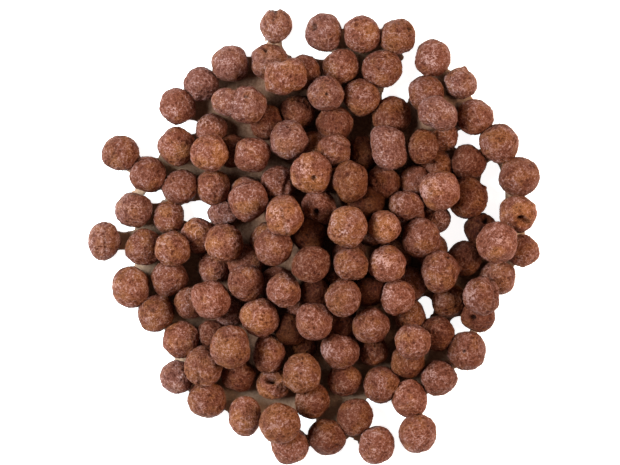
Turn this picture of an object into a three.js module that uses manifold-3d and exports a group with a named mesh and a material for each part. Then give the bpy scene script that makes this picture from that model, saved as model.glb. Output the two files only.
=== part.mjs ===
// A loose heap of chocolate cereal balls, as it lies on a table. Millimetres, +Z up.
// The origin is on the table, under the middle of the heap's outline, and +Y points to the back.
// Puffed balls about 11 mm wide lie one deep round the uneven edge and three deep in the middle. The
// ones that show are fused where they touch, to each other and to a mound that fills the hidden inside,
// so the heap is one solid. It rests on the mound's flat underside and on a small flat spot under each
// ball of the lowest layer.
import * as THREE from "three";
import { ConvexGeometry } from "three/addons/geometries/ConvexGeometry.js";
import { mergeVertices } from "three/addons/utils/BufferGeometryUtils.js";
import Module from "manifold-3d";

const STEP = 0.3; // mm: the places and widths of the balls are given in steps of this size

// The balls of the top layer lie on a dome, which levels out where they come to lie on the table.
const DOME_MIDDLE = { x: 4, y: -1 };
const DOME_RADIUS = 38;
const DOME_RISE = 17;

// The mound under them reaches a little into their undersides, and ends inside the dome's edge.
const MOUND_RADIUS = 33;
const MOUND_BITE = 2;
const MOUND_SIDES = 16;
const MOUND_RINGS = 3;

const TUCKED_DROP = 6; // how far a ball that shows between others lies below their layer
const TUCKED_WIDTH = 10.4; // of the ones that the gaps over the mound show
const TUCKED_ROOM = 2.6; // radius of the narrowest gap that shows one
const GAP_SEARCH_STEP = 1;

const PRESS = 0.4; // how far two balls that touch are pressed into each other
const SWELL = 1.06; // corners stand out of the round by this much, so that a faceted ball has its true volume
const SMOOTHING = 0.15; // slivers that the fusing leaves are evened out within this distance

// Each ball is [x, y, width], in steps, from the middle of the outline.
// These lie on the table: the edge, clockwise from the back, with the ones just inside it.
const TABLE_BALLS = [
  [-37, 209, 33], [-45, 174, 37], [-9, 163, 34], [11, 201, 36], [48, 199, 37], [86, 199, 36],
  [28, 168, 36], [70, 165, 38], [120, 175, 36], [148, 151, 31], [113, 141, 36], [161, 118, 36],
  [189, 92, 39], [155, 74, 35], [205, 57, 40], [155, 37, 40], [204, 18, 37], [168, 6, 34],
  [209, -16, 33], [151, -24, 35], [185, -42, 35], [136, -66, 33], [166, -80, 34], [124, -99, 35],
  [154, -116, 38], [128, -143, 35], [95, -126, 35], [99, -163, 36], [105, -199, 38], [68, -150, 36],
  [65, -208, 37], [44, -180, 37], [31, -145, 33], [14, -202, 37], [-1, -166, 35], [-22, -209, 37],
  [-41, -151, 32], [-68, -181, 36], [-75, -140, 34], [-106, -165, 37], [-136, -142, 33], [-131, -106, 36],
  [-101, -101, 30], [-121, -68, 33], [-157, -78, 36], [-182, -52, 39], [-142, -44, 36], [-99, -32, 32],
  [-170, -13, 36], [-209, -6, 34], [-114, -1, 35], [-142, 17, 31], [-179, 25, 36], [-131, 47, 35],
  [-89, 21, 28], [-165, 60, 36], [-192, 82, 36], [-98, 47, 35], [-136, 89, 38], [-103, 108, 31],
  [-136, 129, 36], [-112, 151, 34], [-83, 171, 37],
];

// These lie under the ones of the top layer, and show between them.
const TUCKED_BALLS = [
  [131, 101, 30], [123, 69, 32], [110, 87, 32], [-79, 83, 32], [-14, 121, 34], [-45, 111, 34],
  [124, 17, 28], [-84, -76, 30], [96, -79, 32], [-8, -110, 26], [-22, -94, 32], [60, -115, 30],
];

// These lie on top, in the order in which they came to rest.
const TOP_BALLS = [
  [23, 111, 35], [79, 118, 38], [49, 136, 36], [13, 141, 35], [-101, 80, 37], [-59, 79, 36],
  [-23, 93, 39], [22, 83, 33], [-1, 61, 40], [38, 52, 36], [127, 45, 40], [93, 29, 32],
  [-63, 33, 39], [-87, -8, 38], [-139, -14, 35], [-38, -12, 37], [-27, 17, 37], [71, 7, 32],
  [108, -3, 39], [184, -7, 41], [-1, -29, 37], [38, -29, 34], [35, 7, 40], [84, -62, 35],
  [74, -29, 37], [127, -37, 40], [-66, -47, 36], [-28, -55, 34], [-100, -64, 39], [31, -62, 36],
  [169, -61, 37], [-52, -82, 38], [2, -85, 37], [58, -90, 36], [100, -107, 35], [-109, -131, 39],
  [-82, -112, 40], [-45, -121, 35], [27, -115, 37], [-11, -138, 39], [-32, -186, 40],
];

// These lie on top too, and each has grown together from two.
const DOUBLE_BALLS = [
  [[-64, 128, 38], [-84, 131, 28]],
  [[-33, 156, 34], [-21, 161, 32]],
  [[120, 122, 31], [130, 116, 29]],
  [[74, 92, 34], [76, 79, 33]],
];

const wasm = await Module();
wasm.setup();

function ballOf([x, y, width]) {
  return { x: x * STEP, y: y * STEP, radius: (width * STEP) / 2 };
}

// Height of the dome that the undersides of the top layer's balls lie on.
function domeHeight(distance) {
  return DOME_RISE * Math.max(0, 1 - (distance / DOME_RADIUS) ** 2);
}

function fromMiddle({ x, y }) {
  return Math.hypot(x - DOME_MIDDLE.x, y - DOME_MIDDLE.y);
}

// How far apart two balls are along one direction when they touch, if they are this far apart across it.
function touchingDistance(ball, other, across) {
  const reach = ball.radius + other.radius - PRESS;
  return Math.sqrt(Math.max(0, reach ** 2 - across ** 2));
}

// Height at which a ball let down from above comes to rest: its lowest, or on a ball that is there already.
function restingHeight(ball, lowest, balls) {
  const heights = balls.map((other) => {
    const apart = Math.hypot(ball.x - other.x, ball.y - other.y);
    return other.z + touchingDistance(ball, other, apart);
  });
  const touched = heights.filter((height, i) => height > balls[i].z);
  return Math.max(ball.radius, lowest, ...touched);
}

// Lets down a ball, or the halves of a double ball, which lie level. The drop is how far below the dome
// it may come to lie.
function lay(halves, drop, balls) {
  const heights = halves.map((half) => {
    const lowest = half.radius + domeHeight(fromMiddle(half)) - drop;
    return restingHeight(half, lowest, balls);
  });
  balls.push(...halves.map((half) => ({ ...half, z: Math.max(...heights) })));
}

// Every ball of the lists above, with its height.
function placedBalls() {
  const balls = TABLE_BALLS.map(ballOf).map((ball) => ({ ...ball, z: ball.radius }));
  for (const ball of TUCKED_BALLS) lay([ballOf(ball)], TUCKED_DROP, balls);
  for (const ball of TOP_BALLS) lay([ballOf(ball)], 0, balls);
  for (const halves of DOUBLE_BALLS) lay(halves.map(ballOf), 0, balls);
  return balls;
}

// The place over the mound that has the most room round it, seen from above.
function widestGap(balls) {
  let widest = { room: 0 };
  for (let x = -MOUND_RADIUS; x <= MOUND_RADIUS; x += GAP_SEARCH_STEP) {
    for (let y = -MOUND_RADIUS; y <= MOUND_RADIUS; y += GAP_SEARCH_STEP) {
      const place = { x: x + DOME_MIDDLE.x, y: y + DOME_MIDDLE.y };
      const rooms = balls.map((ball) => Math.hypot(place.x - ball.x, place.y - ball.y) - ball.radius);
      const room = Math.min(MOUND_RADIUS - fromMiddle(place), ...rooms);
      if (room > widest.room) widest = { ...place, room };
    }
  }
  return widest;
}

// Lets a ball of the layer below show in each gap over the mound, the widest gap first.
function fillGaps(balls) {
  const radius = TUCKED_WIDTH / 2;
  for (let gap = widestGap(balls); gap.room > TUCKED_ROOM; gap = widestGap(balls)) {
    const z = radius + Math.max(0, domeHeight(fromMiddle(gap)) - TUCKED_DROP);
    balls.push({ x: gap.x, y: gap.y, z, radius });
  }
}

// How far a ball has to go along the table until it touches another.
function gapBetween(ball, other) {
  return Math.hypot(ball.x - other.x, ball.y - other.y) - touchingDistance(ball, other, ball.z - other.z);
}

// Pushes the balls and groups of balls that lie loose in against the rest, nearest first, each by the
// shortest way.
function closeUp(balls) {
  const heap = balls.filter((ball) => fromMiddle(ball) < MOUND_RADIUS);
  let loose = balls.filter((ball) => !heap.includes(ball));
  while (loose.length > 0) {
    const pairs = loose.flatMap((ball) => {
      return heap.map((other) => ({ ball, other, gap: gapBetween(ball, other) }));
    });
    const { ball, other, gap } = pairs.reduce((a, b) => (b.gap < a.gap ? b : a));
    const group = [ball];
    for (const member of group) {
      group.push(...loose.filter((next) => !group.includes(next) && gapBetween(member, next) <= 0));
    }
    if (gap > 0) {
      const way = new THREE.Vector2(other.x - ball.x, other.y - ball.y).setLength(gap);
      for (const member of group) {
        member.x += way.x;
        member.y += way.y;
      }
    }
    heap.push(...group);
    loose = loose.filter((next) => !group.includes(next));
  }
}

function solidOf(geometry) {
  geometry.deleteAttribute("normal");
  geometry.deleteAttribute("uv");
  const merged = mergeVertices(geometry, 1e-4);
  return new wasm.Manifold(
    new wasm.Mesh({
      numProp: 3,
      vertProperties: merged.attributes.position.array,
      triVerts: new Uint32Array(merged.index.array),
    }),
  );
}

// A round of 60 even facets, 1 mm in radius, with one corner straight up: the corners and the middles of
// the faces of an icosahedron, all brought out to the same distance.
function facetedBall() {
  const corners = new THREE.IcosahedronGeometry(1, 0).attributes.position;
  const points = [];
  for (let i = 0; i < corners.count; i += 3) {
    const face = [i, i + 1, i + 2].map((k) => new THREE.Vector3().fromBufferAttribute(corners, k));
    points.push(...face, new THREE.Vector3().add(face[0]).add(face[1]).add(face[2]).normalize());
  }
  return new ConvexGeometry(points).rotateX(Math.atan2(1, (1 + Math.sqrt(5)) / 2));
}

function moundSolid() {
  const profile = [new THREE.Vector2(0, 0)];
  for (let ring = MOUND_RINGS; ring >= 0; ring--) {
    const distance = (MOUND_RADIUS * ring) / MOUND_RINGS;
    profile.push(new THREE.Vector2(distance, domeHeight(distance) + MOUND_BITE));
  }
  profile.splice(1, 0, new THREE.Vector2(MOUND_RADIUS, 0));
  const geometry = new THREE.LatheGeometry(profile, MOUND_SIDES);
  geometry.rotateX(Math.PI / 2);
  geometry.translate(DOME_MIDDLE.x, DOME_MIDDLE.y, 0);
  return solidOf(geometry);
}

// Fuses the balls and the mound, cuts them level with the table and keeps the one outer body, so that the
// hollows that the fusing sealed in are filled. Each ball is turned by its number in the heap, so that no
// two lie alike.
function heapSolid(balls) {
  const shape = facetedBall();
  const solids = balls.map(({ x, y, z, radius }, number) => {
    const size = radius * SWELL;
    return solidOf(shape.clone().scale(size, size, size).rotateZ(number).translate(x, y, z));
  });
  const fused = wasm.Manifold.union([moundSolid(), ...solids]);
  const table = new THREE.BoxGeometry(200, 200, 20).translate(0, 0, -10);
  const cut = fused.subtract(solidOf(table)).asOriginal();
  const bodies = cut.simplify(SMOOTHING).decompose();
  return bodies.reduce((a, b) => (a.volume() > b.volume() ? a : b));
}

// The solid as a mesh, moved so that the origin is under the middle of its outline.
function geometryOf(solid) {
  const { vertProperties, triVerts } = solid.getMesh();
  const geometry = new THREE.BufferGeometry()
    .setAttribute("position", new THREE.BufferAttribute(vertProperties, 3))
    .setIndex(new THREE.BufferAttribute(triVerts, 1));
  geometry.computeBoundingBox();
  const middle = geometry.boundingBox.getCenter(new THREE.Vector3());
  return geometry.translate(-middle.x, -middle.y, 0);
}

const balls = placedBalls();
closeUp(balls);
fillGaps(balls);

const cocoa = new THREE.MeshStandardMaterial({ color: 0xa05f4b, roughness: 0.85, metalness: 0 });
const heap = new THREE.Mesh(geometryOf(heapSolid(balls)), cocoa);
heap.name = "cereal_heap";

const group = new THREE.Group();
group.add(heap);

export default group;
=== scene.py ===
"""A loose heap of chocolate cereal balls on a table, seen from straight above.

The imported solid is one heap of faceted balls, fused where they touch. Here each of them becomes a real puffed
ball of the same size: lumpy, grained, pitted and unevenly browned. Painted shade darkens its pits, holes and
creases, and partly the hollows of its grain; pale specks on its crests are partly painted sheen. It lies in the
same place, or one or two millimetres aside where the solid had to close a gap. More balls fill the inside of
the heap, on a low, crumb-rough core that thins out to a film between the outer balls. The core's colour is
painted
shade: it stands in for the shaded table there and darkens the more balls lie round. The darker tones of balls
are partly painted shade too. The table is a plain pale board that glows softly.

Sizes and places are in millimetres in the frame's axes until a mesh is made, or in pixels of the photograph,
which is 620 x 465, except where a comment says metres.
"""

import math

import bmesh
import bpy
import numpy as np
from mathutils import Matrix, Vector


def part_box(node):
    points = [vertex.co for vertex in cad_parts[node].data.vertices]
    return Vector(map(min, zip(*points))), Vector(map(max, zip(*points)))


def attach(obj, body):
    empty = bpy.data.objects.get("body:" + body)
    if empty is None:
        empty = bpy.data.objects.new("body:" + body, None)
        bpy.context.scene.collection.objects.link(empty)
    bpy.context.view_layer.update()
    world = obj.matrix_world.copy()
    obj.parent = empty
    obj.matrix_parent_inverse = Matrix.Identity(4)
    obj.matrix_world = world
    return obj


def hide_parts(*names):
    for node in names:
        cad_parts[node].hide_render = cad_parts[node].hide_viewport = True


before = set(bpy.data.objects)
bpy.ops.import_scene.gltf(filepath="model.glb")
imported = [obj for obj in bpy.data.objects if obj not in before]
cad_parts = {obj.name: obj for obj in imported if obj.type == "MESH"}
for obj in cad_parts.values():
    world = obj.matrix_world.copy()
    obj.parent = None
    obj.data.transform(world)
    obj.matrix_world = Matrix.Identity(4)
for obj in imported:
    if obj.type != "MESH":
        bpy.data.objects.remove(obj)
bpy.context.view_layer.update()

MM = 0.001  # metres
HEAP = "cereal_heap"
BODY = "root"
SEED = 7

# The photograph's view, which looks straight down.
IMAGE_WIDTH, IMAGE_HEIGHT = 620, 465
HEAP_AT = (316.3, 237.8)  # the pixel where the frame's origin is seen
PIXELS_PER_MM = 3.36  # at the height of the middles of the balls that lie on the table
EDGE_BALL_HEIGHT = 5.5
CAMERA_HEIGHT = 2000.0
CAMERA_AT = ((IMAGE_WIDTH / 2 - HEAP_AT[0]) / PIXELS_PER_MM, (HEAP_AT[1] - IMAGE_HEIGHT / 2) / PIXELS_PER_MM)

# The solid's balls are rounds of 60 even facets, the corners of an icosahedron and the middles of its faces.
# These are the sides of such a facet on a round whose corners are 1 away from its middle.
LONG_SIDE = 2 * math.sin(math.acos(math.sqrt(5) / 3) / 2)
SHORT_SIDE = 2 * math.sin(math.acos(math.sqrt((5 + 2 * math.sqrt(5)) / 15)) / 2)
SWELL = 1.06  # how many radii of the real ball the solid's corners are from its middle
FACET_SLACK = 0.02  # how far a whole facet's sides may be from the even ones
CORNER_SIZES = (3.5, 7.5)  # least and most distance from a ball's middle to its corners
SAME_BALL = 1.0  # facets whose middles are closer than this are of one ball
FEWEST_FACETS = 3
DOUBLE_NEAREST = 0.7  # two level balls closer than this part of their radii together have grown together
LEVEL = 0.01  # the most that the heights of level balls differ by

# Balls that the solid has no room for fill the inside of the heap.
INNER_TRIES = 9000
INNER_RADII = (4.9, 5.5)
INNER_REACH = 42.0  # from the middle of the heap
INNER_NEAREST = 0.87  # of the distance at which two balls touch
INNER_COVER = 4.6  # their middles lie at least this much lower than the highest one over them
COVER_REACH = 7.5  # a ball counts as cover for what lies this close to it, seen from above

# The shape of a puffed ball, in parts of its radius or in millimetres.
FLAT_PLACES = (0.89, 1.01)  # least and most distance of a flat from the middle
FLAT_SCATTER = 0.2
FLAT_EDGES = 12  # a higher power makes the edges between flats sharper
OVALNESS = 0.04
WAVES = 36
WAVE_LENGTHS = (0.75, 1.3)  # shortest and longest of them, in parts of the wavelength
LUMPS = ((1.5, 0.015), (0.75, 0.012))  # (wavelength, depth), in parts of the radius
GRAINS = ((3.4, 0.06), (1.9, 0.09), (1.15, 0.08))  # (wavelength, depth), in mm
GRAIN_CREST = 0.8  # how high the crests of the grain stand, in parts of its depth
PITS = 10
PIT_WIDTHS = (0.35, 0.75)
PIT_DEPTHS = (0.15, 0.4)
# painted shade in a pit
PIT_DARK = 0.5
LOBES_JOIN = 16  # a higher power makes the crease between two grown together sharper
DETAIL, INNER_DETAIL = 5, 4  # subdivisions of an icosahedron
BALL_TOAST = 0.06  # spread of the browning from ball to ball

# How the marks that the photograph shows lie on a ball.
UNDERSIDE_FADE = 4  # how fast they fade below its middle: fully at 1 / 4 of its radius
HOLE_STEEPNESS = 4  # a higher number makes the walls of a hole steeper
HOLE_DARKENING, HOLE_PALE_RIM = 5, 0.5  # how fast painted shade darkens a hole inwards, and how late that begins
# painted shade in a crease
CREASE_DARK = 0.3
PATCH_TOAST = 0.35  # how much more golden a golden patch is
PATCH_FULLNESS = 0.5  # a lower power makes the middle of a patch wider

# A sheet of painted shade under the heap: a low, crumb-rough mound, and a film that stands in for the shaded
# table between the outer balls. Its level is a share of the horizon.
CRUMB_CELL = 0.9  # side of one cell of the sheet
HORIZON_NEAR, HORIZON_FAR = 5.0, 14.0  # a ball counts fully up to the one gap, and from the other not at all
HORIZON_WAYS = 24
HORIZON_BLUR = 0.15  # radians
SHADE_FILM_CLOSED = 0.80  # the film of painted shade lies where the balls take up at least this share of the horizon
SHADE_FILM_RISE = 1.5  # mm for a whole unit of the level
SHADE_FILM_DEPTH = 0.3
SHADE_FILM_THINNEST = 0.02
BARE_DROP = 2  # how far the level falls in the middle of a bare gap
BARE_EDGE = 1.5  # a bare gap's influence ends at this many times its size
LEAST_SLOPE = 0.01  # of the level, for each millimetre
MOUND_REACH = 6.0  # how far aside a ball adds to the cover that makes the mound
MOUND_COVER = 1.6  # cover at which the mound begins
MOUND_RISE = 3.0  # mm for a whole unit of the cover
MOUND_TOP = 13.0
CRUMB_WAVE, CRUMB_ROUGHNESS = 3.0, 0.12  # wavelength, and depth as a part of the height
SHADE_REACH = 13.0  # how far aside a ball adds to the cover that darkens the sheet's painted shade
SHADE_START, SHADE_RANGE = 3.4, 6.0  # cover at which it begins to darken, and how much more makes it darkest

# ---- what stands out in the photograph, by the pixel where it is seen ------------------------------

# Middles of the balls that the solid has a little aside from where they are seen, as it had to close gaps.
CLOSED_UP = (
    (276, 26), (341, 67), (230, 64), (304, 72), (292, 74), (280, 79), (201, 84), (461, 84),
    (426, 94), (177, 106), (177, 146), (134, 210), (437, 218), (104, 241), (522, 251), (214, 267),
    (498, 277), (131, 287), (449, 301), (229, 311), (156, 313), (437, 334), (413, 342), (231, 347),
    (340, 350), (373, 350), (467, 351), (408, 361), (204, 366), (302, 373), (238, 375), (177, 377),
    (344, 380), (381, 385), (207, 400), (312, 401), (245, 416), (327, 437),
)

# Tone of each ball that isn't plainly brown. The darker, redder russet and the much darker umber are partly
# painted shade: they go to balls that lie low, in the shade of the ones above.
TONES = {
    "rosy": (
        (362, 34), (433, 58), (342, 63), (284, 76), (180, 102), (433, 111), (475, 116), (211, 129),
        (443, 136), (252, 155), (248, 201), (169, 217), (348, 227), (172, 249), (522, 248), (212, 265),
        (130, 284), (284, 290), (314, 321), (413, 346), (269, 354), (418, 434), (290, 445), (377, 445),
    ),
    "dusty": (
        (274, 29), (324, 33), (234, 62), (270, 62), (296, 71), (204, 79), (325, 93), (463, 87), (227, 102),
        (247, 105), (444, 117), (289, 140), (387, 141), (133, 206), (222, 213), (440, 215), (110, 242),
        (501, 273), (227, 311), (174, 376),
    ),
    "golden": (
        (172, 148), (210, 154), (311, 173), (213, 187), (440, 190), (518, 214), (284, 217), (384, 227),
        (198, 236), (224, 243), (498, 243), (387, 264), (211, 299), (397, 297), (259, 317), (181, 340),
        (273, 384), (409, 399), (242, 411),
    ),
    "russet_and_shade": (
        (298, 113), (392, 116), (267, 123), (335, 124), (232, 151), (389, 155), (423, 147), (436, 165),
        (468, 162), (351, 182), (383, 184), (468, 198), (464, 259), (311, 264), (447, 306), (478, 315),
        (210, 335), (435, 336), (373, 354), (408, 364), (233, 378), (345, 384), (308, 403), (355, 416),
        (324, 434),
    ),
    "umber_and_shade": (
        (362, 154), (366, 204), (309, 235), (481, 230), (315, 292), (369, 288), (290, 329), (342, 325),
        (304, 345),
    ),
}

# Balls that are plainly not round: x, y, width and height.
OVALS = (
    (383, 70, 41, 38), (245, 416, 33, 40), (131, 287, 37, 42), (440, 272, 37, 43), (268, 356, 32, 38),
    (406, 206, 34, 29), (423, 149, 31, 35), (110, 242, 33, 38), (350, 182, 34, 41), (274, 29, 31, 35),
    (324, 33, 36, 38),
)

# Holes and dents: x, y, half width, half height, depth in mm, and how dark painted shade makes them inside.
HOLES = (
    (521.5, 219.5, 4.4, 3.4, 2.8, 0.9), (524.5, 222.5, 4.4, 4.0, 2.4, 0.0),
    (485.5, 219, 3.2, 3.4, 2.0, 1.0), (472.5, 318, 3.2, 2.8, 1.8, 1.0),
    (272, 380, 7.0, 3.6, 4.0, 1.0), (315.5, 213, 3.2, 3.8, 2.2, 1.0), (314, 178.5, 2.6, 2.4, 1.1, 0.7),
    (314, 26, 2.2, 4.0, 0.8, 0.7), (410, 28, 2.2, 1.8, 0.8, 0.8), (265, 49, 1.8, 2.2, 0.7, 0.7),
    (274, 9, 3.0, 2.2, 0.9, 0.3), (152, 310, 2.4, 1.6, 0.6, 0.5), (327, 94, 1.6, 1.6, 0.6, 0.8),
    (247, 96, 2.6, 1.8, 0.7, 0.6), (464, 351, 1.6, 1.6, 0.6, 0.8), (448, 257, 1.6, 1.6, 0.6, 0.8),
)

# Corners and tips that stand out: x, y, half size, and height in mm.
TIPS = (
    (532, 206, 3.0, 0.7), (465, 68, 3.5, 0.7), (486, 186, 3.5, 0.8), (267, 91, 4.5, 0.9),
    (350, 165, 5.0, 0.6), (305, 157, 4.5, 0.6), (233, 218, 5.0, 0.9), (196, 97, 4.0, 0.5),
    (445, 397, 3.5, 0.4), (252, 88, 4.0, 0.5),
)

# Cracks and folds: from x, y, to x, y, half width, and depth in mm.
CREASES = (
    (331, 139, 350, 147, 1.2, 0.45), (104, 230, 106, 253, 1.6, 0.5), (267, 48, 264, 62, 1.6, 0.5),
    (490, 279, 496, 290, 1.3, 0.5), (496, 290, 493, 305, 1.3, 0.5), (197, 372, 200, 384, 1.8, 0.6),
    (289, 177, 284, 195, 2.2, 0.9), (110, 162, 117, 145, 1.4, 0.4), (277, 8, 273, 20, 1.6, 0.5),
    (377, 67, 385, 71, 1.2, 0.4), (281, 208, 287, 234, 1.4, 0.35),
)

# Patches that are more golden: x, y, half width, half height.
GOLDEN_PATCHES = (
    (371, 31, 6, 7), (450, 283, 6, 5), (421, 244, 6, 5), (312, 184, 11, 7), (194, 229, 9, 6),
    (246, 315, 5, 8), (228, 350, 11, 8), (392, 383, 6, 8), (324, 426, 8, 5), (220, 153, 8, 8),
    (337, 194, 9, 6), (355, 375, 8, 5), (167, 212, 6, 5), (522, 212, 10, 8), (524, 222, 6, 5),
    (248, 208, 12, 6), (497, 136, 10, 6), (383, 227, 12, 12), (497, 252, 9, 6),
)

# Patches of more pale specks, partly painted sheen: x, y, half width, half height.
PALE_PATCHES = (
    (280, 63, 5, 3.5), (344, 233, 4, 4), (287, 229, 3, 5), (389, 266, 4, 4), (204, 122, 7, 4),
    (438, 186, 3, 8), (425, 188, 6, 9), (397, 204, 6, 6), (386, 291, 6, 8), (326, 348, 6, 9),
    (432, 374, 6, 8), (470, 297, 6, 9), (300, 397, 6, 8), (276, 214, 6, 8), (303, 168, 8, 6),
    (378, 258, 8, 7), (430, 58, 7, 8), (499, 238, 8, 5),
)

# Bare table inside the outline: x, y, half width, half height.
BARE_GAPS = (
    (200, 212, 16, 8), (155, 196, 8, 5), (453, 231, 15, 19), (469, 140, 13, 8), (425, 308, 6, 8),
    (460, 326, 8, 7), (305, 422, 8, 9), (395, 97, 9, 12), (388, 414, 20, 16), (492, 198, 9, 26),
    (299, 38, 12, 15), (322, 54, 8, 3), (251, 47, 8, 6), (409, 78, 10, 14), (190, 127, 7, 5),
    (150, 150, 8, 7), (124, 226, 9, 4), (122, 260, 10, 7), (414, 50, 9, 7), (180, 124, 6, 5),
    (397, 436, 5, 4), (313, 50, 5, 4),
)

# ---- colours and lights ----------------------------------------------------------------------------

# Of each tone: rosy crumb, golden crumb, the hollows of the relief (partly its own mottling, partly painted
# shade) and pale specks (partly painted sheen).
COLOURS = {
    "brown": ((0.128, 0.0365, 0.020), (0.170, 0.053, 0.0190), (0.038, 0.0060, 0.0024), (0.33, 0.176, 0.154)),
    "rosy": ((0.153, 0.045, 0.0255), (0.202, 0.065, 0.0235), (0.046, 0.0075, 0.0030), (0.395, 0.22, 0.196)),
    "dusty": ((0.148, 0.049, 0.0330), (0.182, 0.061, 0.0280), (0.045, 0.0086, 0.0046), (0.4, 0.235, 0.213)),
    "golden": ((0.16, 0.046, 0.0255), (0.226, 0.073, 0.0255), (0.052, 0.0088, 0.0033), (0.42, 0.218, 0.186)),
    # The russet and umber colours are darker versions of the others, partly painted shade.
    "russet_and_shade": ((0.099, 0.0255, 0.0126), (0.135, 0.038, 0.0118), (0.029, 0.0039, 0.0016), (0.25, 0.12, 0.089)),
    "umber_and_shade": ((0.039, 0.0075, 0.0029), (0.058, 0.014, 0.0035), (0.012, 0.0016, 0.0007), (0.1, 0.036, 0.0167)),
}
# Painted shade inside pits, holes and creases.
PORE_SHADE = (0.014, 0.003, 0.0012)
# Painted shade of the core, each as two patch colours: lighter where it stands in for the shaded table between
# the outer balls, darker deep in the heap.
PALE_PAINTED_SHADE = ((0.36, 0.208, 0.132), (0.43, 0.255, 0.165))
DEEP_PAINTED_SHADE = ((0.12, 0.053, 0.030), (0.18, 0.088, 0.054))
PALE_BOARD = ((0.86, 0.85, 0.84), (0.9, 0.89, 0.88))
WHITE = (1.0, 1.0, 1.0)

# Widths and bumps in mm, and where a share begins and ends, in the units of the value that it is made from.
# A gloss is a roughness and a specular level.
TOAST_SIZE, TOAST_EDGES = 4.0, (0.40, 0.75)
BLOOM_SIZE, BLOOM_DEPTH = 3.6, 3.4
FINE_SIZE, FINE_ROUGHNESS, FINE_DEPTH = 0.42, 0.6, 5.5
RIDGE_SIZE, RIDGE_MIDDLE, RIDGE_DEPTH = 0.75, 0.08, 9.0
GRAIN_DEPTH = 0.75
# The hollows of the relief darken: partly the crumb's own mottling, partly painted shade.
CREVICE_EDGES, CREVICE_SHARE = (0.8, -3.1), 0.9
# Its crests and pale patches turn pale: partly pale specks, partly painted sheen.
SPECK_AND_SHEEN_EDGES, SPECK_AND_SHEEN_SHARE = (0.1, 3.0), 0.82
PALE_BOOST = 1.1
PUFF_BUMP = 0.5
PUFF_GLOSS = (0.55, 0.05)
CORE_GRAIN_SIZE, CORE_GRAIN_DETAIL, CORE_GRAIN_ROUGHNESS = 0.8, 3.0, 0.6
CORE_PATCHES = (0.35, 0.7)
CORE_BUMP = 0.3
CORE_GLOSS = (0.8, 0.1)
BOARD_BLOTCHES = 60.0
BOARD_GLOSS = (0.8, 0.2)

BOARD_GLOW = 0.9  # strength of its own soft white light
BOARD_REACH = 4.0  # metres from the middle to a side
LAMP_SIZE = 0.6  # metres
LAMPS = {  # place in metres, power in watts, and colour
    "window": ((-0.75, 0.10, 0.73), 33.5, (0.70, 0.860, 0.935)),
    "fill": ((0.86, 0.06, 0.60), 14.2, (1.0, 0.915, 0.755)),
}
STUDIO_COLOUR, STUDIO_STRENGTH = (1.0, 0.85, 0.735), 0.30


# ---- the photograph's view -------------------------------------------------------------------------

def mm_per_pixel(height):
    return (CAMERA_HEIGHT - height) / (CAMERA_HEIGHT - EDGE_BALL_HEIGHT) / PIXELS_PER_MM


def at_height(pixel, height):
    """The place on a level plane at this height that the camera sees at a pixel."""
    scale = mm_per_pixel(height)
    right, down = pixel[0] - IMAGE_WIDTH / 2, pixel[1] - IMAGE_HEIGHT / 2
    return np.array([CAMERA_AT[0] + right * scale, CAMERA_AT[1] - down * scale])


def seen_at(places):
    """The pixels that places are seen at."""
    scale = mm_per_pixel(places[:, 2])
    right, down = (places[:, 0] - CAMERA_AT[0]) / scale, (CAMERA_AT[1] - places[:, 1]) / scale
    return np.stack([right + IMAGE_WIDTH / 2, down + IMAGE_HEIGHT / 2], axis=1)


def ball_at(balls, pixel):
    """Number of the ball that is on top at a pixel."""
    tops = []
    for ball in balls:
        aside = np.linalg.norm(at_height(pixel, ball[2]) - ball[:2])
        tops.append(ball[2] + math.sqrt(ball[3] ** 2 - aside**2) if aside < ball[3] else -aside)
    return int(np.argmax(tops))


def near_oval(pixels, x, y, half_width, half_height):
    """1 in the middle of an oval and 0 well outside it, smooth between."""
    out = ((pixels[:, 0] - x) / half_width) ** 2 + ((pixels[:, 1] - y) / half_height) ** 2
    return np.clip(1 - out / 2, 0, 1) ** 2


def near_line(pixels, x0, y0, x1, y1, half_width):
    """1 on a line and 0 away from it, smooth between."""
    start, run = np.array([x0, y0]), np.array([x1 - x0, y1 - y0])
    along = np.clip((pixels - start) @ run / (run @ run), 0, 1)
    out = np.linalg.norm(pixels - start - along[:, None] * run, axis=1) / half_width
    return np.exp(-(out**2))


# ---- the balls of the solid ------------------------------------------------------------------------

def facets_of(node):
    """Corners of every triangle of a node of the frame, as (triangles, 3 corners, 3), in mm."""
    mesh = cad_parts[node].data
    places = np.empty(len(mesh.vertices) * 3)
    corners = np.empty(len(mesh.loops), int)
    mesh.vertices.foreach_get("co", places)
    mesh.loops.foreach_get("vertex_index", corners)
    return places.reshape(-1, 3)[corners].reshape(-1, 3, 3) / MM


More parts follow.
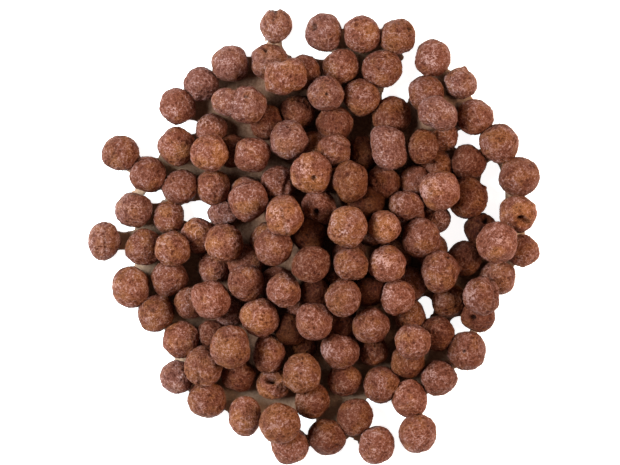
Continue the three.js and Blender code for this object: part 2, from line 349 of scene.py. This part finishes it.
def balls_of(node):
    """Middle and radius, in mm, of each ball of the solid, from the facets that the fusing left whole."""
    facets = facets_of(node)
    sides = np.linalg.norm(facets - np.roll(facets, -1, axis=1), axis=2)  # side i goes from corner i
    longest = sides.argmax(1)
    rows = np.arange(len(facets))
    reach = sides[rows, longest] / LONG_SIDE
    short = [sides[rows, (longest + step) % 3] / reach for step in (1, 2)]
    off = np.maximum(*(abs(side - SHORT_SIDE) for side in short))
    whole = (off < FACET_SLACK) & (reach > CORNER_SIZES[0]) & (reach < CORNER_SIZES[1])
    facets, reach, longest = facets[whole], reach[whole, None], longest[whole]

    rows = np.arange(len(facets))
    first, second, tip = (facets[rows, (longest + step) % 3] for step in range(3))
    tip_share = 2 * SHORT_SIDE**2 - LONG_SIDE**2
    base_share = SHORT_SIDE**2
    foot = (tip_share * tip + base_share * (first + second)) / (tip_share + 2 * base_share)
    outwards = np.cross(second - first, tip - first)
    outwards /= np.linalg.norm(outwards, axis=1, keepdims=True)
    depth = np.sqrt(reach**2 - np.sum((foot - tip) ** 2, axis=1, keepdims=True))
    middles = foot - outwards * depth

    balls = []
    left = np.ones(len(middles), bool)
    near = np.linalg.norm(middles[:, None] - middles, axis=2) < SAME_BALL
    while left.any():
        ball = near[((near & left).sum(1) * left).argmax()] & left
        if ball.sum() >= FEWEST_FACETS:
            balls.append([*np.median(middles[ball], axis=0), np.median(reach[ball]) / SWELL])
        left &= ~ball
    return np.array(balls)


def groups_of(balls):
    """Lists of ball numbers: two that are level and lie far into each other are one double ball."""
    groups, done = [], set()
    for i, ball in enumerate(balls):
        if i in done:
            continue
        apart = np.linalg.norm(balls[:, :3] - ball[:3], axis=1)
        twins = (apart < DOUBLE_NEAREST * (balls[:, 3] + ball[3])) & (abs(balls[:, 2] - ball[2]) < LEVEL)
        groups.append(np.flatnonzero(twins))
        done |= set(groups[-1])
    return groups


def opened_up(balls):
    """The balls of the solid, with the ones that it closed up back in the places where they are seen."""
    opened = balls.copy()
    for pixel in CLOSED_UP:
        ball = np.linalg.norm(seen_at(balls) - pixel, axis=1).argmin()
        opened[ball, :2] = at_height(pixel, balls[ball, 2])
    return opened


def inner_balls(rng, shown):
    """Balls in the room that is left under the ones of the solid."""
    balls = shown.copy()
    for _ in range(INNER_TRIES):
        radius = rng.uniform(*INNER_RADII)
        angle, distance = rng.uniform(0, 2 * math.pi), INNER_REACH * math.sqrt(rng.uniform())
        place = np.array([distance * math.cos(angle), distance * math.sin(angle), 0.0])
        aside = np.linalg.norm(shown[:, :2] - place[:2], axis=1)
        cover = shown[aside < COVER_REACH, 2].max(initial=0.0)
        place[2] = rng.uniform(radius, max(radius, cover - INNER_COVER))
        if cover < radius + INNER_COVER:
            continue
        apart = np.linalg.norm(balls[:, :3] - place, axis=1)
        if (apart > INNER_NEAREST * (balls[:, 3] + radius)).all():
            balls = np.vstack([balls, [*place, radius]])
    return balls[len(shown):]


# ---- shapes ----------------------------------------------------------------------------------------

def unit_round(detail):
    """Directions of the corners of a finely divided icosahedron, and its triangles."""
    shape = bmesh.new()
    bmesh.ops.create_icosphere(shape, subdivisions=detail, radius=1.0)
    ways = np.array([corner.co for corner in shape.verts])
    triangles = np.array([[corner.index for corner in face.verts] for face in shape.faces])
    shape.free()
    return ways / np.linalg.norm(ways, axis=1, keepdims=True), triangles


def directions(rng, count):
    ways = rng.normal(size=(count, 3))
    return ways / np.linalg.norm(ways, axis=1, keepdims=True)


def ripples(rng, places, wavelength):
    """A smooth random height at each place, about 1 deep: many plane waves of nearly one length."""
    lengths = wavelength * rng.uniform(*WAVE_LENGTHS, WAVES)
    waves = directions(rng, WAVES) * (2 * math.pi / lengths[:, None])
    phases = rng.uniform(0, 2 * math.pi, WAVES)
    return np.sin(places @ waves.T + phases).sum(-1) * math.sqrt(2 / WAVES)


def flattened(rng, ways):
    """How far a ball 1 in radius reaches in each direction, when its sides are pressed a little flat."""
    turn, _ = np.linalg.qr(rng.normal(size=(3, 3)))
    flats = unit_round(1)[0] @ turn
    flats = flats + rng.normal(scale=FLAT_SCATTER, size=flats.shape)
    flats /= np.linalg.norm(flats, axis=1, keepdims=True)
    nearness = np.maximum(ways @ flats.T, 0) / rng.uniform(*FLAT_PLACES, len(flats))
    reach = (1 + (nearness**FLAT_EDGES).sum(1)) ** (-1 / FLAT_EDGES)
    return reach / reach.mean()


def lobed(ways, lobes, middle):
    """How far balls that have grown together reach from a place inside them all, in each direction."""
    reach = 0
    for lobe in lobes:
        along = ways @ (lobe[:3] - middle)
        out = along + np.sqrt(along**2 - np.sum((lobe[:3] - middle) ** 2) + lobe[3] ** 2)
        reach = reach + out**LOBES_JOIN
    return reach ** (1 / LOBES_JOIN)


def stretched(rng, ways, oval, radius):
    """A stretch of a ball in each direction: to the size seen in the photograph, or a slight chance one."""
    if oval is not None:
        half_sizes = np.array([*oval, 2 * radius / mm_per_pixel(EDGE_BALL_HEIGHT)]) / 2
        half_sizes *= mm_per_pixel(EDGE_BALL_HEIGHT) / radius
        return 1 / np.linalg.norm(ways / half_sizes, axis=1)
    stretch = rng.uniform(-OVALNESS, OVALNESS)
    along = (ways @ directions(rng, 1)[0]) ** 2
    return 1 + stretch * (1.5 * along - 0.5)  # the mean over the whole ball stays 1


def pitted(rng, places, reach):
    """The same reach with a few small pits in it, and how dark painted shade makes them at each place."""
    dark = np.zeros(len(places))
    for way in directions(rng, PITS):
        aside = np.linalg.norm(places - way * reach.mean(), axis=1)
        near = np.clip(1 - aside / rng.uniform(*PIT_WIDTHS), 0, 1)
        pit = near * near * (3 - 2 * near)
        reach = reach - pit * rng.uniform(*PIT_DEPTHS)
        dark = np.maximum(dark, PIT_DARK * pit)
    return reach, dark


class Marks:
    """What the photograph shows on one ball: its oval shape, holes, tips, creases and patches."""

    def __init__(self, balls, group):
        def seen_here(marks):
            return [mark for mark in marks if ball_at(balls, mark[:2]) in group]

        self.ovals = seen_here(OVALS)
        self.holes = seen_here(HOLES)
        self.tips = seen_here(TIPS)
        self.golden = seen_here(GOLDEN_PATCHES)
        self.pale = seen_here(PALE_PATCHES)
        self.creases = []
        for crease in CREASES:
            x0, y0, x1, y1 = crease[:4]
            if ball_at(balls, ((x0 + x1) / 2, (y0 + y1) / 2)) in group:
                self.creases.append(crease)

    def put_on(self, pixels, upper, reach, looks):
        """Add the marks to how far the ball reaches and how it looks, where its upper side is seen."""
        for *oval, depth, dark in self.holes:
            near = near_oval(pixels, *oval)
            hole = np.clip(near * HOLE_STEEPNESS, 0, 1) * upper
            reach -= depth * hole
            # painted shade darkens the inside of the hole
            inside = np.clip(near * HOLE_DARKENING - HOLE_PALE_RIM, 0, 1) * upper
            looks["pit"] = np.maximum(looks["pit"], inside * dark)
        for x, y, half_size, height in self.tips:
            reach += height * near_oval(pixels, x, y, half_size, half_size) * upper
        for *line, half_width, depth in self.creases:
            crease = near_line(pixels, *line, half_width) * upper
            reach -= depth * crease
            # painted shade in the crease
            looks["pit"] = np.maximum(looks["pit"], CREASE_DARK * crease)
        for patch in self.golden:
            looks["toast"] += PATCH_TOAST * near_oval(pixels, *patch) ** PATCH_FULLNESS * upper
        for patch in self.pale:
            pale = near_oval(pixels, *patch) ** PATCH_FULLNESS * upper
            looks["pale"] = np.maximum(looks["pale"], pale)


def puff(rng, lobes, ways, marks):
    """Places of a puffed ball's corners, and at each the grain's height, the painted shade of pits, browning
    and paleness.
    """
    middle = lobes[:, :3].T @ lobes[:, 3] / lobes[:, 3].sum()
    oval = marks.ovals[0][2:] if marks and marks.ovals else None
    reach = lobed(ways, lobes, middle) * flattened(rng, ways) * stretched(rng, ways, oval, lobes[0, 3])
    for wavelength, depth in LUMPS:
        reach *= 1 + depth * ripples(rng, ways, wavelength)
    places = ways * reach[:, None]
    grains = [depth * (GRAIN_CREST - abs(ripples(rng, places, wavelength))) for wavelength, depth in GRAINS]
    fine_grain = sum(grains[1:])
    reach, pits = pitted(rng, places, reach + sum(grains))
    looks = {
        "grain": fine_grain / fine_grain.std(),
        "pit": pits,
        "toast": np.full(len(ways), rng.normal(0.0, BALL_TOAST)),
        "pale": np.zeros(len(ways)),
    }
    if marks:
        upper = np.clip(ways[:, 2] * UNDERSIDE_FADE + 1, 0, 1)
        marks.put_on(seen_at(middle + places), upper, reach, looks)
    places = middle + ways * reach[:, None]
    places[:, 2] = np.maximum(places[:, 2], 0)  # it rests on the table with a small flat
    return places, looks


def joined_mesh(name, parts):
    """One mesh of closed parts: each has places, faces, and named looks of its corners."""
    starts = np.cumsum([0] + [len(places) for places, _, _ in parts])
    places = np.vstack([places for places, _, _ in parts]) * MM
    faces = np.vstack([faces + start for (_, faces, _), start in zip(parts, starts)])
    mesh = bpy.data.meshes.new(name)
    mesh.from_pydata(places, [], faces)
    for label in parts[0][2]:
        values = np.concatenate([looks[label] for _, _, looks in parts])
        mesh.attributes.new(label, "FLOAT", "POINT").data.foreach_set("value", values)
    return mesh


def add_piece(name, mesh, material):
    mesh.shade_smooth()
    mesh.materials.append(material)
    piece = bpy.data.objects.new(name, mesh)
    bpy.context.scene.collection.objects.link(piece)
    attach(piece, BODY)
    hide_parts(HEAP)


# ---- materials -------------------------------------------------------------------------------------

class Nodes:
    """Short ways to make and link the nodes of one material."""

    def __init__(self, name):
        self.material = bpy.data.materials.new(name)
        self.material.use_nodes = True
        self.tree = self.material.node_tree
        self.shader = self.tree.nodes["Principled BSDF"]
        self.places = self.new("ShaderNodeTexCoord").outputs["Object"]

    def new(self, kind, **settings):
        node = self.tree.nodes.new(kind)
        for name, value in settings.items():
            setattr(node, name, value)
        return node

    def fill(self, socket, value):
        """Give a socket a number, a colour or another node's output."""
        if isinstance(value, tuple):
            socket.default_value = (*value, 1.0)
        elif isinstance(value, (int, float)):
            socket.default_value = value
        else:
            self.tree.links.new(value, socket)

    def noise(self, size, detail=2.0, roughness=0.5):
        """Noise whose features are this many millimetres wide."""
        node = self.new("ShaderNodeTexNoise")
        node.inputs["Scale"].default_value = 1 / (size * MM)
        node.inputs["Detail"].default_value = detail
        node.inputs["Roughness"].default_value = roughness
        self.fill(node.inputs["Vector"], self.places)
        return node.outputs["Fac"]

    def swing(self, noise, depth):
        """The same noise, but about 0 and this deep."""
        return self.math("MULTIPLY", self.math("SUBTRACT", noise, 0.5), depth)

    def attribute(self, name):
        return self.new("ShaderNodeAttribute", attribute_name=name).outputs["Fac"]

    def spread(self, value, start, end, most=1.0):
        """0 at the start, the most at the end, smooth between and level beyond. The end may be the lower."""
        node = self.new("ShaderNodeMapRange", interpolation_type="SMOOTHSTEP")
        node.inputs["From Min"].default_value = start
        node.inputs["From Max"].default_value = end
        node.inputs["To Max"].default_value = most
        self.fill(node.inputs["Value"], value)
        return node.outputs["Result"]

    def math(self, operation, first, second=0.0):
        node = self.new("ShaderNodeMath", operation=operation)
        self.fill(node.inputs[0], first)
        self.fill(node.inputs[1], second)
        return node.outputs["Value"]

    def total(self, first, *others):
        for other in others:
            first = self.math("ADD", first, other)
        return first

    def mix(self, share, first, second):
        """The first colour with a share of the second."""
        node = self.new("ShaderNodeMix", data_type="RGBA")  # several of its sockets share one name
        self.fill(node.inputs[0], share)
        self.fill(node.inputs[6], first)
        self.fill(node.inputs[7], second)
        return node.outputs[2]

    def bump(self, height, depth):
        """Roughen the surface by a value, this many millimetres deep."""
        node = self.new("ShaderNodeBump")
        node.inputs["Distance"].default_value = depth * MM
        self.fill(node.inputs["Height"], height)
        self.fill(self.shader.inputs["Normal"], node.outputs["Normal"])

    def finish(self, colour, roughness, specular):
        """The material, with its shader's colour and gloss set."""
        self.fill(self.shader.inputs["Base Color"], colour)
        self.fill(self.shader.inputs["Roughness"], roughness)
        self.fill(self.shader.inputs["Specular IOR Level"], specular)
        return self.material


def puff_material(name, rosy, golden, dark, pale):
    """Puffed cereal: rosy cocoa over golden crumb, with pale specks in drifts that are partly painted sheen on
    the crests, darker hollows that are partly painted shade, and pores darkened by painted shade.
    """
    n = Nodes(name)
    toast = n.math("ADD", n.attribute("toast"), n.noise(TOAST_SIZE))
    colour = n.mix(n.spread(toast, *TOAST_EDGES), rosy, golden)
    fine = n.noise(FINE_SIZE, roughness=FINE_ROUGHNESS)
    from_ridge = n.math("ABSOLUTE", n.math("SUBTRACT", n.noise(RIDGE_SIZE, detail=1.0), 0.5))
    ridges = n.math("MULTIPLY", n.math("SUBTRACT", RIDGE_MIDDLE, from_ridge), RIDGE_DEPTH)
    grain = n.math("MULTIPLY", n.attribute("grain"), GRAIN_DEPTH)
    bloom = n.swing(n.noise(BLOOM_SIZE), BLOOM_DEPTH)
    relief = n.total(n.swing(fine, FINE_DEPTH), ridges, grain, bloom)
    # darker in the hollows of the relief: partly its own mottling, partly painted shade
    colour = n.mix(n.spread(relief, *CREVICE_EDGES, CREVICE_SHARE), colour, dark)
    # paler on the crests of the relief and in the pale patches: partly pale specks, partly painted sheen
    specks_and_sheen = n.math("ADD", relief, n.math("MULTIPLY", n.attribute("pale"), PALE_BOOST))
    colour = n.mix(n.spread(specks_and_sheen, *SPECK_AND_SHEEN_EDGES, SPECK_AND_SHEEN_SHARE), colour, pale)
    # painted shade in pits, holes and creases
    colour = n.mix(n.attribute("pit"), colour, PORE_SHADE)
    n.bump(fine, PUFF_BUMP)
    return n.finish(colour, *PUFF_GLOSS)


def painted_shade_material():
    """Painted shade on the core, with a grain and patches: lighter where it stands in for the shaded table
    between the outer balls, darker where it lies deep in the heap.
    """
    n = Nodes("painted_shade")
    grain = n.noise(CORE_GRAIN_SIZE, CORE_GRAIN_DETAIL, CORE_GRAIN_ROUGHNESS)
    patches = n.spread(grain, *CORE_PATCHES)
    deep = n.spread(n.attribute("shade"), 0.0, 1.0)
    n.bump(grain, CORE_BUMP)
    return n.finish(n.mix(deep, n.mix(patches, *PALE_PAINTED_SHADE), n.mix(patches, *DEEP_PAINTED_SHADE)), *CORE_GLOSS)


def board_material():
    """A plain pale board that glows softly, as a light table does."""
    n = Nodes("pale_board")
    n.fill(n.shader.inputs["Emission Color"], WHITE)
    n.fill(n.shader.inputs["Emission Strength"], BOARD_GLOW)
    return n.finish(n.mix(n.noise(BOARD_BLOTCHES), *PALE_BOARD), *BOARD_GLOSS)


# ---- the heap --------------------------------------------------------------------------------------

def build_balls(name, balls, groups, material, detail, marked):
    ways, triangles = unit_round(detail)
    parts = []
    for group in groups:
        rng = np.random.default_rng([SEED, detail, group[0]])  # a ball's shape is its own, whatever its tone
        places, looks = puff(rng, balls[group], ways, Marks(balls, group) if marked else None)
        parts.append((places, triangles, looks))
    add_piece(name, joined_mesh(name, parts), material)


def build_heap():
    shown = balls_of(HEAP)
    tones = ["brown"] * len(shown)
    for tone, pixels in TONES.items():
        for pixel in pixels:
            tones[ball_at(shown, pixel)] = tone
    groups = groups_of(shown)
    shown = opened_up(shown)
    for tone, colours in COLOURS.items():
        mine = [group for group in groups if tones[group[0]] == tone]
        build_balls("puffs_" + tone, shown, mine, puff_material("puff_" + tone, *colours), DETAIL, True)
    inner = inner_balls(np.random.default_rng(SEED), shown)
    material = puff_material("puff_inside", *COLOURS["rosy"])
    build_balls("puffs_inside", inner, groups_of(inner), material, INNER_DETAIL, False)
    build_core(shown)


def horizon_taken(x, y, balls):
    """Share of the horizon, seen from each place, that balls near it take up."""
    share = 0
    for way in np.linspace(0, 2 * math.pi, HORIZON_WAYS, endpoint=False):
        taken = 0
        for ball_x, ball_y, _, radius in balls:
            across, along = ball_x - x, ball_y - y
            apart = np.maximum(np.hypot(across, along), radius)
            near = np.clip((HORIZON_FAR - (apart - radius)) / (HORIZON_FAR - HORIZON_NEAR), 0, 1)
            turned = np.arccos(np.clip((across * math.cos(way) + along * math.sin(way)) / apart, -1, 1))
            hit = np.clip((np.arcsin(radius / apart) - turned) / HORIZON_BLUR + 0.5, 0, 1)
            taken = np.maximum(taken, near * hit)
        share = share + taken / HORIZON_WAYS
    return share


def bareness(x, y):
    """How far each place is inside one of the bare gaps, from 1 in its middle to 0 well outside."""
    most = 0
    for *pixel, half_width, half_height in BARE_GAPS:
        gap_x, gap_y = at_height(pixel, 0)
        out = np.hypot((x - gap_x) / half_width, (y - gap_y) / half_height) * PIXELS_PER_MM
        most = np.maximum(most, np.clip(BARE_EDGE - out, 0, 1))
    return most


def shade_film_level(x, y, balls):
    """Above 0 where the film of painted shade lies: closed in by balls, and not in one of the bare gaps."""
    return horizon_taken(x, y, balls) - SHADE_FILM_CLOSED - BARE_DROP * bareness(x, y)


def cover(x, y, balls, reach):
    """How many layers of balls lie about each place."""
    total = 0
    for ball_x, ball_y, ball_z, radius in balls:
        total = total + ball_z / radius * np.exp(-((x - ball_x) ** 2 + (y - ball_y) ** 2) / reach**2)
    return total


def closed_down(places, cells):
    """Places and faces of a sheet of cells, closed by walls and by a flat underside on the table."""
    sides = np.stack([cells, np.roll(cells, -1, axis=1)], axis=-1).reshape(-1, 2).tolist()
    turned = {(end, start) for start, end in sides}
    start, end = np.array([side for side in sides if tuple(side) not in turned]).T  # of one cell only
    under = len(places)
    walls = np.stack([end, start, start + under, end + under], axis=1)
    return np.vstack([places, places * (1, 1, 0)]), np.vstack([cells, cells[:, ::-1] + under, walls])


def build_core(balls):
    """Painted shade inside the heap: a low, dark mound that thins out to a film between the outer balls, where
    it stands in for the shaded table.
    """
    rng = np.random.default_rng(SEED + 1)
    low, high = (np.array(corner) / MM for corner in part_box(HEAP))
    x, y = np.meshgrid(np.arange(low[0], high[0], CRUMB_CELL), np.arange(low[1], high[1], CRUMB_CELL))
    level = shade_film_level(x, y, balls)
    corners = np.arange(x.size).reshape(x.shape)
    cells = np.stack([corners[:-1, :-1], corners[:-1, 1:], corners[1:, 1:], corners[1:, :-1]], axis=-1)
    cells = cells[(level.ravel()[cells] > 0).any(-1)]

    # corners just outside the film move in to its edge, up the slope of the level
    rise_y, rise_x = np.gradient(level, CRUMB_CELL)
    slope = np.maximum(np.hypot(rise_x, rise_y), LEAST_SLOPE)
    move = np.minimum(np.maximum(-level, 0) / slope, CRUMB_CELL) / slope
    x, y = x + rise_x * move, y + rise_y * move

    mound = np.minimum(MOUND_RISE * np.maximum(cover(x, y, balls, MOUND_REACH) - MOUND_COVER, 0), MOUND_TOP)
    heights = np.clip(level * SHADE_FILM_RISE, 0, SHADE_FILM_DEPTH) + mound
    places = np.stack([x, y, heights], axis=-1)
    heights = heights * (1 + CRUMB_ROUGHNESS * ripples(rng, places, CRUMB_WAVE))
    places[..., 2] = np.maximum(heights, SHADE_FILM_THINNEST)
    # painted shade: darker the more layers of balls lie round
    shade = (cover(x, y, balls, SHADE_REACH) - SHADE_START) / SHADE_RANGE

    used, cells = np.unique(cells, return_inverse=True)
    places, faces = closed_down(places.reshape(-1, 3)[used], cells.reshape(-1, 4))
    looks = {"shade": np.tile(shade.ravel()[used], 2)}
    add_piece("core", joined_mesh("core", [(places, faces, looks)]), painted_shade_material())


# ---- stage, lights and camera ----------------------------------------------------------------------

def build_camera():
    camera = bpy.data.objects.new("camera", bpy.data.cameras.new("camera"))
    bpy.context.scene.collection.objects.link(camera)
    camera.location = Vector((*CAMERA_AT, CAMERA_HEIGHT)) * MM
    seen_width = IMAGE_WIDTH / PIXELS_PER_MM
    camera.data.lens = camera.data.sensor_width * (CAMERA_HEIGHT - EDGE_BALL_HEIGHT) / seen_width
    bpy.context.scene.camera = camera


def build_floor():
    low, high = -BOARD_REACH, BOARD_REACH
    mesh = bpy.data.meshes.new("floor")
    mesh.from_pydata([(low, low, 0), (high, low, 0), (high, high, 0), (low, high, 0)], [], [(0, 1, 2, 3)])
    mesh.materials.append(board_material())
    floor = bpy.data.objects.new("floor", mesh)
    bpy.context.scene.collection.objects.link(floor)


def build_lights():
    for name, (place, power, colour) in LAMPS.items():
        lamp = bpy.data.objects.new(name, bpy.data.lights.new(name, "AREA"))
        lamp.data.shape = "DISK"
        lamp.data.size = LAMP_SIZE
        lamp.data.energy = power
        lamp.data.color = colour
        lamp.location = place
        lamp.rotation_euler = (-Vector(place)).to_track_quat("-Z", "Y").to_euler()
        bpy.context.scene.collection.objects.link(lamp)
    studio = bpy.data.worlds.new("studio")
    studio.use_nodes = True
    sky = studio.node_tree.nodes["Background"]
    sky.inputs["Color"].default_value = (*STUDIO_COLOUR, 1.0)
    sky.inputs["Strength"].default_value = STUDIO_STRENGTH
    bpy.context.scene.world = studio


def main():
    build_heap()
    build_floor()
    build_lights()
    build_camera()
    bpy.context.scene.view_settings.view_transform = "Standard"


main()
